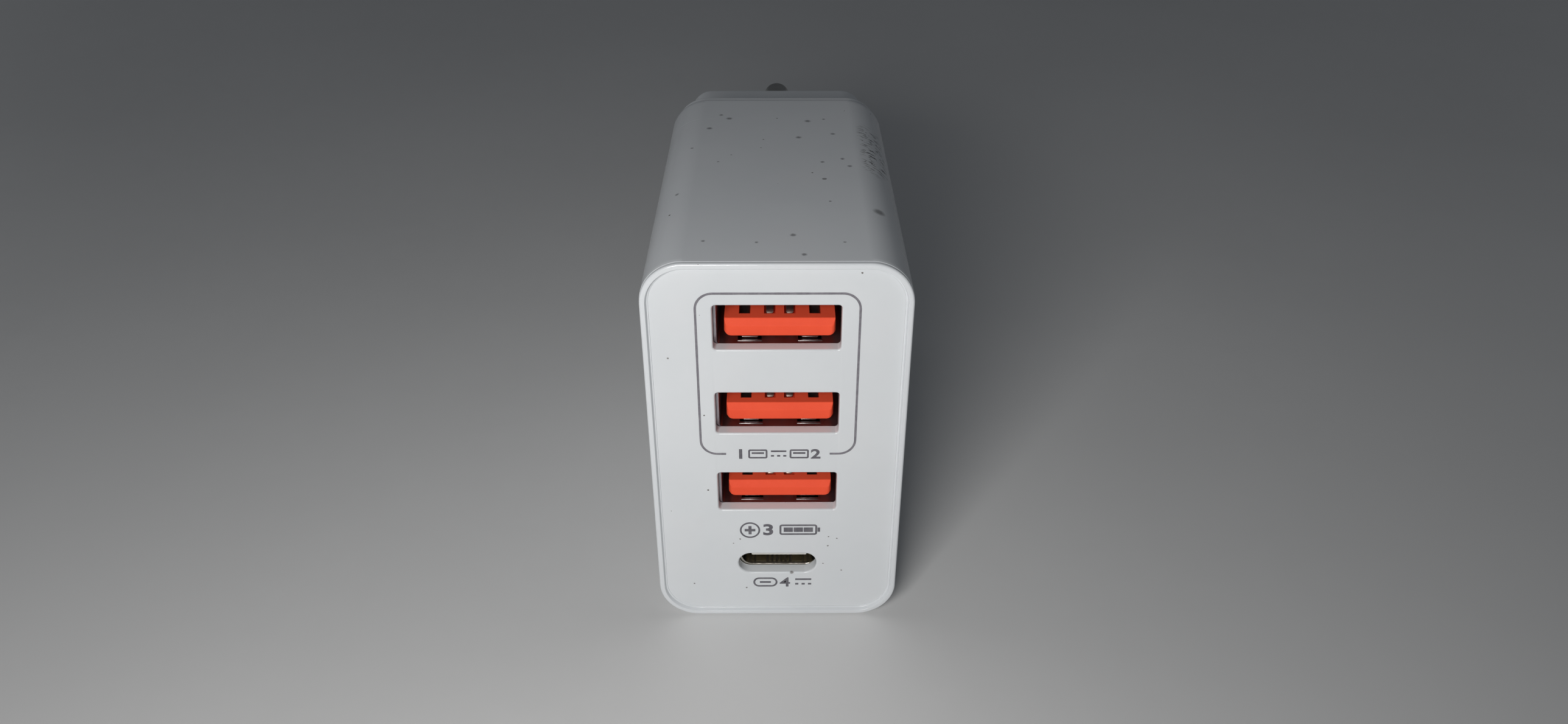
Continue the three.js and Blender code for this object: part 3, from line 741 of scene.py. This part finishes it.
for k, z in enumerate(PORT_Z):
    nm = NAMES[k]
    lo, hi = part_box("usb_a_shell_" + nm)
    x = (lo.x + hi.x) * 500  # the receptacle's middle
    iw, ih, wall = 12.5, 5.12, 0.3
    back = 15.5

    bm = tube("shell", iw + 2 * wall, ih + 2 * wall, 0.6, iw, ih, 0.3, 6, x, z, SHELL_FRONT, back)
    shell = finish_mesh(bm, "port_shell_" + nm, weighted=False)
    bm = bmesh.new()
    for side in (-1, 1):
        zc = z + side * (ih / 2 + wall / 2)
        for fx in (-3.0, 3.0):
            box_bm(bm, x + fx - 1.18, x + fx + 1.18, 2.66, 8.6, zc - 0.6, zc + 0.6)
    # a window in each side wall as well
    for side in (-1, 1):
        xc = x + side * (iw / 2 + wall / 2)
        box_bm(bm, xc - 0.6, xc + 0.6, 4.6, 9.2, z - 0.2, z + 1.7)
    cutter = finish_mesh(bm, "cutter", smooth=False, weighted=False)
    cut_with(shell, cutter)
    soften(shell, 0.03, 2, 40)
    place(shell, "socket_steel", "usb_a_shell_" + nm, material=M_SHELL_A_SHADED)

    # spring fingers, each curling in from the back of its window, and the raised lip at the window's front edge
    bm = bmesh.new()
    for side in (-1, 1):
        f = z + side * ih / 2
        s = -side
        for fx in (-3.0, 3.0):
            lip = [(2.40, f - s * 0.05)] + [(2.33 - 0.045 * math.cos(math.radians(a)), f + s * 0.045 * math.sin(math.radians(a))) for a in (120, 90, 60, 30, 0)] + [(2.285, f - s * 0.05)]
            rows = [[(x + fx + u, yy(d), h) for d, h in lip] for u in (-1.22, 1.22)]
            made = add_rings(bm, rows, False)
            bm.faces.new(made[0])
            bm.faces.new(list(reversed(made[1])))
    for side in (-1, 1):
        f = z + side * (ih / 2 + wall / 2)
        s = -side
        rise = [(2.88, 0.22), (3.2, 0.36), (3.9, 0.50), (4.8, 0.50), (6.2, 0.36), (7.6, 0.12), (8.55, 0.0), (8.9, -0.0)]
        path = smooth_path([(d, f + s * h) for d, h in rise], 4)
        for fx in (-3.0, 3.0):
            strip(bm, path, x + fx - 0.88, x + fx + 0.88, 0.26, 0.10)
    springs = finish_mesh(bm, "port_springs_" + nm, smooth=True, weighted=False)
    soften(springs, 0.03, 2, 40)
    place(springs, "socket_steel", material=M_SPRING_SHADED)

    # tongue: front face with clipped lower corners, a sloping upper face, and four grooves
    low, high = z - 1.9, z - 0.06
    f = TONGUE_FRONT
    def section(half, low_v, high_v, top_half, r):
        pts = [(half - r + r * math.cos(math.radians(a)), low_v + r + r * math.sin(math.radians(a))) for a in (0, -22.5, -45, -67.5, -90)]
        return pts + [(-u, v) for u, v in reversed(pts)] + [(-top_half, high_v), (top_half, high_v)]

    sections = [
        (f, section(5.14, 0.06, 1.14, 5.16, 0.36)),
        (f + 0.11, section(5.34, 0.0, 1.30, 5.36, 0.42)),
        (f + 0.42, section(5.52, 0.0, 1.84, 5.50, 0.46)),
    ]
    bm = bmesh.new()
    pts = []
    for d, sec in sections:
        pts += [bm.verts.new(((x + u) * MM, yy(d) * MM, (low + v) * MM)) for u, v in sec]
    for u, v in sections[-1][1]:
        pts.append(bm.verts.new(((x + u) * MM, yy(12.2) * MM, (low + v) * MM)))
    bmesh.ops.convex_hull(bm, input=bm.verts)
    bmesh.ops.dissolve_limit(bm, angle_limit=math.radians(1.5), verts=bm.verts, edges=bm.edges)
    tongue = finish_mesh(bm, "port_tongue_" + nm, weighted=False)
    b = tongue.modifiers.new("round", "BEVEL")
    b.width, b.segments, b.limit_method, b.angle_limit = 0.06 * MM, 3, "ANGLE", math.radians(24)
    bpy.context.view_layer.update()
    bake_modifiers(tongue)
    bm = bmesh.new()
    for i, cx in enumerate(CONTACT_X):
        box_bm(bm, x + cx - 0.56, x + cx + 0.56, 3.45, 17, high - 0.62, high + 0.4)
    cutter = finish_mesh(bm, "cutter", smooth=False, weighted=False)
    cut_with(tongue, cutter)
    soften(tongue, 0.035, 2, 50)
    place(tongue, "tongue_orange", "usb_a_tongue_" + nm, material=M_ORANGE)
    # the tongue's foot fills the back of the shell
    bm = bmesh.new()
    base = add_rings(bm, [ring(rr(iw - 0.12, ih - 0.12, 0.25, 4, x, z), d) for d in (12.25, 15.4)], False)
    fill_between(bm, [base[0]])
    fill_between(bm, [base[-1]])
    foot = finish_mesh(bm, "port_tongue_foot_" + nm, weighted=False)
    soften(foot, 0.05, 2, 40)
    place(foot, "tongue_orange", material=M_ORANGE)

    # contacts: the inner pair springs up near the mouth, the outer pair lies low in its grooves; both carry painted
    # shade, a darkened brownish contact metal, and the outer pair a darker copy still
    for inner, label, metal_used in ((True, "inner", M_CONTACT_SHADED), (False, "outer", M_CONTACT_DEEP_SHADED)):
        if inner:
            lead = [(4.30, -0.50), (4.46, -0.36), (4.72, -0.23), (5.2, -0.12), (5.8, 0.05)]
        else:
            lead = [(3.56, -0.60), (3.9, -0.57), (4.6, -0.54), (5.4, -0.48), (6.0, -0.30)]
        path = smooth_path(
            [(d, high + h) for d, h in lead]
            + [(6.6, high + 0.08), (8.1, high - 0.10), (9.4, high - 0.40), (12.1, high - 0.40)],
            4,
        )
        half = 0.38 if inner else 0.50
        pair = (1, 2) if inner else (0, 3)
        bm = bmesh.new()
        for i in pair:
            cx = CONTACT_X[i]
            strip(bm, path, x + cx - half, x + cx + half, 0.15, 0.12 if inner else 0.02)
        springs = finish_mesh(bm, f"port_contacts_{label}_{nm}", weighted=False)
        soften(springs, 0.03, 2, 40)
        place(
            springs,
            "contact_plating",
            *[f"usb_a_{nm}_contact_{i + 1}" for i in pair],
            material=metal_used,
        )

# ------------------------------------------------------------------ type C receptacle
lo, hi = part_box("usb_c_shell")
cx = (lo.x + hi.x) * 500
cz = PORT_C_Z
bm = tube("shell", 8.94, 3.16, 1.58 - 0.001, 8.34, 2.56, 1.28 - 0.001, 14, cx, cz, SHELL_FRONT, 15.5, 0.05)
shell = finish_mesh(bm, "type_c_shell", sharp=50)
place(shell, "socket_steel", "usb_c_shell", material=M_SHELL_C)

bm = bmesh.new()
t0 = 2.45
sec = [(-3.345, -0.35), (3.345, -0.35), (3.345, 0.35), (-3.345, 0.35)]
rows = []
for d, sx, sz in ((t0, 0.955, 0.5), (t0 + 0.12, 0.985, 0.85), (t0 + 0.32, 1.0, 1.0), (5.0, 1, 1), (9.2, 1, 1)):
    rows.append([(cx + u * sx, yy(d), cz + v * sz) for u, v in sec])
made = add_rings(bm, rows, False)
bm.faces.new(list(reversed(made[0])))
bm.faces.new(made[-1])
tongue = finish_mesh(bm, "type_c_tongue", weighted=False)
soften(tongue, 0.06, 3, 25)
place(tongue, "tongue_black", "usb_c_tongue", material=M_C_TONGUE_LIT)
# the steel plate inside the tongue shows at its tip
bm = bmesh.new()
rows = []
for d, sx, h in ((2.22, 3.03, 0.315), (2.235, 3.06, 0.338), (2.27, 3.08, 0.349), (2.44, 3.08, 0.349)):
    rows.append(ring(rr(2 * sx, 2 * h, 0.10, 4, cx, cz), d))
made = add_rings(bm, rows, False)
fill_between(bm, [made[0]])
fill_between(bm, [made[-1]])
place(finish_mesh(bm, "type_c_tip_plate", sharp=60), "socket_steel", material=M_TIP)
bm = bmesh.new()
base = add_rings(bm, [ring(rr(8.22, 2.44, 1.21, 10, cx, cz), d) for d in (9.2, 15.4)], False)
fill_between(bm, [base[0]])
fill_between(bm, [base[-1]])
foot = finish_mesh(bm, "type_c_tongue_foot", weighted=False)
soften(foot, 0.05, 2, 40)
place(foot, "tongue_black", material=M_BLACK)

for side, name, nodes in (
    (1, "type_c_upper_pads", [f"usb_c_contact_{i}" for i in range(1, 7)]),
    (-1, "type_c_lower_pads", [f"usb_c_lower_contact_{i}" for i in range(1, 5)]),
):
    bm = bmesh.new()
    spec = [(-2.04, 1.16), (2.04, 1.16), (-1.0, 0.25), (-0.5, 0.25), (0.0, 0.25), (0.5, 0.25), (1.0, 0.25), (-3.0, 0.34), (3.0, 0.34)]
    for u, w in spec:
        h0 = cz + side * 0.30
        h1 = cz + side * 0.375
        box_bm(bm, cx + u - w / 2, cx + u + w / 2, 3.2, 9.1, min(h0, h1), max(h0, h1))
    pads = finish_mesh(bm, name, smooth=False, weighted=False)
    soften(pads, 0.02, 2, 40)
    place(pads, "contact_plating", *nodes, material=M_PAD)


# ------------------------------------------------------------------ printed marks
INK_TOP = RECESS - 0.018
INK_BACK = RECESS + 0.01


def stroke(bm, path, width, closed=False, vary=0.0):
    """A flat printed line of constant width along path, points (x, z), with square ends."""
    n = len(path)
    left, right = [], []
    for i in range(n):
        if closed:
            a, b = path[(i - 1) % n], path[(i + 1) % n]
        else:
            a, b = path[max(i - 1, 0)], path[min(i + 1, n - 1)]
        dx, dz = b[0] - a[0], b[1] - a[1]
        l = math.hypot(dx, dz)
        u, v = -dz / l, dx / l
        w = width / 2 * (1 + vary * (0.6 * math.sin(i * 1.7) + 0.4 * math.sin(i * 0.61 + 1.3)))
        left.append((path[i][0] + u * w, path[i][1] + v * w))
        right.append((path[i][0] - u * w, path[i][1] - v * w))
    rows = [
        [(l[0], yy(INK_TOP), l[1]), (r[0], yy(INK_TOP), r[1]), (r[0], yy(INK_BACK), r[1]), (l[0], yy(INK_BACK), l[1])]
        for l, r in zip(left, right)
    ]
    made = add_rings(bm, rows, closed)
    if not closed:
        bm.faces.new(list(reversed(made[0])))
        bm.faces.new(made[-1])


def filled(bm, points):
    """A printed patch with the outline points (x, z)."""
    front = [bm.verts.new((x * MM, yy(INK_TOP) * MM, z * MM)) for x, z in points]
    back = [bm.verts.new((x * MM, yy(INK_BACK) * MM, z * MM)) for x, z in points]
    n = len(points)
    for i in range(n):
        j = (i + 1) % n
        bm.faces.new((front[i], front[j], back[j], back[i]))
    fill_between(bm, [front])
    fill_between(bm, [back])


def digit(bm, text, x, z, height, widen, bold):
    """A number in Blender's own font, height tall and widened, with its lower left corner at (x, z)."""
    cu = bpy.data.curves.new("digit", "FONT")
    cu.body = text
    cu.size = 1.0
    cu.offset = bold
    cu.resolution_u = 6
    ob = bpy.data.objects.new("digit", cu)
    bpy.context.scene.collection.objects.link(ob)
    bpy.context.view_layer.update()
    me = evaluated_copy(ob)
    xs = [v.co.x for v in me.vertices]
    ys = [v.co.y for v in me.vertices]
    sy = height / (max(ys) - min(ys))
    sx = sy * widen
    part = bmesh.new()
    part.from_mesh(me)
    bmesh.ops.remove_doubles(part, verts=part.verts, dist=1e-5)
    for v in part.verts:
        px, pz = x + (v.co.x - min(xs)) * sx, z + (v.co.y - min(ys)) * sy
        v.co = (px * MM, yy(INK_TOP) * MM, pz * MM)
    made = bmesh.ops.extrude_face_region(part, geom=list(part.faces))
    for v in [g for g in made["geom"] if isinstance(g, bmesh.types.BMVert)]:
        v.co.y = yy(INK_BACK) * MM
    tmp = bpy.data.meshes.new("tmp")
    part.to_mesh(tmp)
    part.free()
    bm.from_mesh(tmp)
    bpy.data.meshes.remove(tmp)
    bpy.data.objects.remove(ob)
    bpy.data.curves.remove(cu)
    bpy.data.meshes.remove(me)


def ink_material(name, full, thin):
    k = Net(name)
    worn = k.noise(1500, 4.0, 0.7)
    base = k.mix(k.ramp(worn, 0.42, 0.70), full, thin)
    k.set(Base_Color=base, Roughness=k.ramp(k.noise(900, 2.0, 0.5), 0.3, 0.7, 0.42, 0.58))
    k.put(k.bsdf.inputs["Normal"], k.bump(worn, 0.2, 0.00001))
    return k.mat


M_INK = ink_material("grey_print", (0.128, 0.124, 0.142), (0.185, 0.180, 0.198))
M_INK_LINE = ink_material("grey_line_print", (0.195, 0.185, 0.210), (0.270, 0.260, 0.285))

# the frame round the upper two ports, open at the bottom
x0, x1, z0, z1, r = -7.885, 8.03, 22.50, 41.49, 1.70
path = [(-5.31, z0), (-5.7, z0)]
path += arc(x0 + r, z0 + r, r, 270, 180, 12)
path += [(x0, z0 + r + (z1 - z0 - 2 * r) * i / 24) for i in range(1, 24)]
path += arc(x0 + r, z1 - r, r, 180, 90, 12)
path += [(x0 + r + (x1 - x0 - 2 * r) * i / 20, z1) for i in range(1, 20)]
path += arc(x1 - r, z1 - r, r, 90, 0, 12)
path += [(x1, z1 - r - (z1 - z0 - 2 * r) * i / 24) for i in range(1, 24)]
path += arc(x1 - r, z0 + r, r, 0, -90, 12)
path += [(5.8, z0), (5.44, z0)]
bm = bmesh.new()
stroke(bm, path, 0.235, vary=0.07)
place(finish_mesh(bm, "print_port_frame", smooth=False, weighted=False), "print_grey", material=M_INK_LINE)


def dc_symbol(bm, x, z, w, h, t):
    """The direct-current sign: a bar over three dashes."""
    stroke(bm, [(x, z + h - t / 2), (x + w / 2, z + h - t / 2), (x + w, z + h - t / 2)], t)
    g = w / 5
    for i in (0, 2, 4):
        stroke(bm, [(x + i * g, z + t / 2 + h * 0.2), (x + (i + 1) * g, z + t / 2 + h * 0.2)], t)


def cell_symbol(bm, x, z, w, h, t, bars):
    """A charging battery: an outline with a stub and bars inside."""
    body = w - 0.32
    stroke(bm, rr(body - t, h - t, 0.18, 4, x + body / 2, z + h / 2), t, closed=True)
    filled(bm, [(x + body + 0.04, z + h * 0.3), (x + w, z + h * 0.3), (x + w, z + h * 0.7), (x + body + 0.04, z + h * 0.7)])
    inner = body - 4 * t
    step = inner / bars
    for i in range(bars):
        a = x + 2 * t + i * step + 0.04
        b = x + 2 * t + (i + 1) * step - 0.04
        filled(bm, [(a, z + 2 * t), (b, z + 2 * t), (b, z + h - 2 * t), (a, z + h - 2 * t)])


def slot_symbol(bm, x, z, w, h, t):
    """A type A opening: an outline with a bar in its upper half."""
    stroke(bm, rr(w - t, h - t, 0.10, 3, x + w / 2, z + h / 2), t, closed=True)
    a, b, lo, hi = x + 0.36, x + w - 0.36, z + h * 0.50, z + h * 0.50 + 0.22
    filled(bm, [(a, lo), (b, lo), (b, hi), (a, hi)])


# ports 1 and 2
bm = bmesh.new()
digit(bm, "1", -3.98, 21.86, 1.24, 1.30, 0.03)
slot_symbol(bm, -3.02, 21.90, 2.0, 1.16, 0.19)
dc_symbol(bm, -0.66, 21.93, 1.6, 1.0, 0.21)
slot_symbol(bm, 1.28, 21.90, 2.0, 1.16, 0.19)
digit(bm, "2", 3.48, 21.86, 1.24, 1.25, 0.03)
place(finish_mesh(bm, "print_ports_1_2", smooth=False, weighted=False), "print_grey", material=M_INK)
# port 3
bm = bmesh.new()
c = (-2.98, 12.15)
stroke(bm, [(c[0] + 1.01 * math.cos(2 * math.pi * i / 48), c[1] + 1.01 * math.sin(2 * math.pi * i / 48)) for i in range(48)], 0.19, closed=True)
u, v = 0.17, 0.58
filled(bm, [(c[0] + a, c[1] + b) for a, b in ((-u, -v), (u, -v), (u, -u), (v, -u), (v, u), (u, u), (u, v), (-u, v), (-u, u), (-v, u), (-v, -u), (-u, -u))])
digit(bm, "3", -1.55, 11.42, 1.58, 1.25, 0.03)
cell_symbol(bm, 0.22, 11.47, 4.42, 1.46, 0.21, 3)
place(finish_mesh(bm, "print_port_3", smooth=False, weighted=False), "print_grey", material=M_INK)
# port 4
bm = bmesh.new()
stroke(bm, rr(2.5, 1.16, 0.57, 10, -1.36, 4.55), 0.21, closed=True)
stroke(bm, [(-1.98, 4.55), (-0.74, 4.55)], 0.25)
digit(bm, "4", 0.24, 3.86, 1.38, 1.25, 0.015)
dc_symbol(bm, 1.98, 3.92, 1.8, 1.16, 0.24)
place(finish_mesh(bm, "print_port_4", smooth=False, weighted=False), "print_grey", material=M_INK)

# ------------------------------------------------------------------ electronics inside, carried over from the CAD
INNER = {
    "port_board": plain("green_laminate", (0.020, 0.115, 0.050), (0.012, 0.080, 0.034), 0.35, 900, 0.25),
    "power_board": None,
    "port_controller_ic_1": plain("chip_epoxy_finish", (0.022, 0.022, 0.024), (0.012, 0.012, 0.013), 0.55, 1500, 0.3),
    "output_inductor_1": plain("grey_ferrite", (0.060, 0.060, 0.064), (0.028, 0.028, 0.030), 0.72, 1200, 0.5),
    "transformer_bobbin": plain("black_phenolic", (0.030, 0.029, 0.028), (0.016, 0.016, 0.016), 0.5, 900, 0.25),
    "transformer_winding": plain("yellow_tape", (0.72, 0.47, 0.045), (0.60, 0.36, 0.03), 0.36, 500, 0.2),
    "bulk_capacitor_1": plain("shrink_sleeve", (0.030, 0.034, 0.040), (0.018, 0.020, 0.024), 0.30, 400, 0.12),
    "output_capacitor_1": metal("drawn_can", (0.66, 0.67, 0.68), (0.45, 0.46, 0.47), 0.26, 0.15, 500, (0.2, 1, 1), 0.4),
    "fuse": plain("fuse_body", (0.115, 0.048, 0.024), (0.075, 0.030, 0.016), 0.45, 700, 0.2),
    "safety_capacitor": plain("blue_dip", (0.030, 0.150, 0.390), (0.020, 0.110, 0.300), 0.40, 500, 0.35),
    "choke_winding_upper": plain("enamelled_copper", (0.47, 0.17, 0.06), (0.30, 0.10, 0.035), 0.30, 2400, 0.6, metallic=0.8),
    "insulation_sheet": plain("insulating_film", (0.60, 0.62, 0.59), (0.52, 0.54, 0.52), 0.32, 200, 0.1),
    "lead_live": plain("red_wire_cover", (0.42, 0.020, 0.014), (0.34, 0.015, 0.010), 0.42, 500, 0.15),
    "lead_neutral": plain("blue_wire_cover", (0.020, 0.070, 0.350), (0.014, 0.052, 0.28), 0.42, 500, 0.15),
}
SAME = {
    "power_board": "port_board",
    "port_controller_ic_2": "port_controller_ic_1",
    "bridge_rectifier": "port_controller_ic_1",
    "primary_controller_ic": "port_controller_ic_1",
    "sync_rectifier_ic": "port_controller_ic_1",
    "output_inductor_2": "output_inductor_1",
    "transformer_core_upper": "output_inductor_1",
    "transformer_core_lower": "output_inductor_1",
    "choke_core": "output_inductor_1",
    "bulk_capacitor_2": "bulk_capacitor_1",
    "output_capacitor_2": "output_capacitor_1",
    "choke_winding_lower": "choke_winding_upper",
}
for node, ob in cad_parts.items():
    if ob.hide_render:
        continue
    mat = INNER.get(node) or INNER[SAME[node]]
    for s in ob.material_slots:
        s.link = "DATA"
    ob.data.materials.clear()
    ob.data.materials.append(mat)
    b = ob.modifiers.new("round", "BEVEL")
    b.width, b.segments, b.limit_method, b.angle_limit = 0.12 * MM, 2, "ANGLE", math.radians(40)


# ------------------------------------------------------------------ floor, light, camera
def stage_material():
    k = Net("pale_floor")
    base = k.mix(k.ramp(k.noise(14, 3.0, 0.5), 0.35, 0.7), (0.74, 0.74, 0.735), (0.71, 0.71, 0.705))
    k.set(Base_Color=base, Roughness=k.ramp(k.noise(300, 2.0, 0.5), 0.3, 0.7, 0.5, 0.62))
    return k.mat


bm = bmesh.new()
rows = []
run = [(-1.6, 0.0), (1.3, 0.0)]
run += [(1.3 + 0.5 * math.sin(math.radians(a)), 0.5 - 0.5 * math.cos(math.radians(a))) for a in range(10, 91, 10)]
run += [(1.8, 2.2)]
for y, z in run:
    rows.append([bm.verts.new((-2.6, y, z)), bm.verts.new((2.6, y, z))])
for a, b in zip(rows, rows[1:]):
    bm.faces.new((a[0], a[1], b[1], b[0]))
me = bpy.data.meshes.new("floor")
bm.to_mesh(me)
bm.free()
floor = bpy.data.objects.new("floor", me)
for p in me.polygons:
    p.use_smooth = True
bpy.context.scene.collection.objects.link(floor)
me.materials.append(stage_material())


def area(name, where, aim, size, power, colour=(1, 1, 1)):
    light = bpy.data.lights.new(name, "AREA")
    light.shape = "RECTANGLE"
    light.size, light.size_y = size
    light.energy = power
    light.color = colour
    ob = bpy.data.objects.new(name, light)
    ob.location = where
    ob.rotation_mode = "QUATERNION"
    ob.rotation_quaternion = (Vector(aim) - Vector(where)).to_track_quat("-Z", "Y")
    bpy.context.scene.collection.objects.link(ob)
    return ob


area("near_soft", (-0.036, -0.163, 0.095), (0, -0.03, 0.014), (0.060, 0.045), 0.148, (1.0, 0.988, 0.975))
area("left_soft", (-0.90, 0.52, 0.22), (0, 0, 0.022), (0.60, 0.40), 0.85, (0.98, 0.99, 1.0))
area("right_soft", (0.90, 0.46, 0.22), (0, 0, 0.022), (0.60, 0.40), 0.52, (0.98, 0.99, 1.0))

world = bpy.data.worlds.new("studio")
world.use_nodes = True
bg = world.node_tree.nodes["Background"]
bg.inputs[0].default_value = (0.74, 0.81, 0.91, 1)
bg.inputs[1].default_value = 0.072
bpy.context.scene.world = world

cam = bpy.data.cameras.new("camera")
cam.sensor_fit = "HORIZONTAL"
cam.sensor_width = 36.0
cam.lens = 36.0 * 1886.8 / 2576
cam.clip_start, cam.clip_end = 0.005, 20
cam_ob = bpy.data.objects.new("camera", cam)
bpy.context.scene.collection.objects.link(cam_ob)
pitch, yaw, roll = (math.radians(a) for a in (32.334, 0.401, 0.109))
fwd = Vector((math.sin(yaw) * math.cos(pitch), math.cos(yaw) * math.cos(pitch), -math.sin(pitch)))
right = Vector((math.cos(yaw), -math.sin(yaw), 0))
up = right.cross(fwd)
r2 = right * math.cos(roll) + up * math.sin(roll)
u2 = -right * math.sin(roll) + up * math.cos(roll)
m = Matrix((r2, u2, -fwd)).transposed()
cam_ob.matrix_world = Matrix.Translation((0.011 * MM, (FRONT - 95.294) * MM, 94.395 * MM)) @ m.to_4x4()
bpy.context.scene.camera = cam_ob
bpy.context.scene.view_settings.view_transform = "Standard"
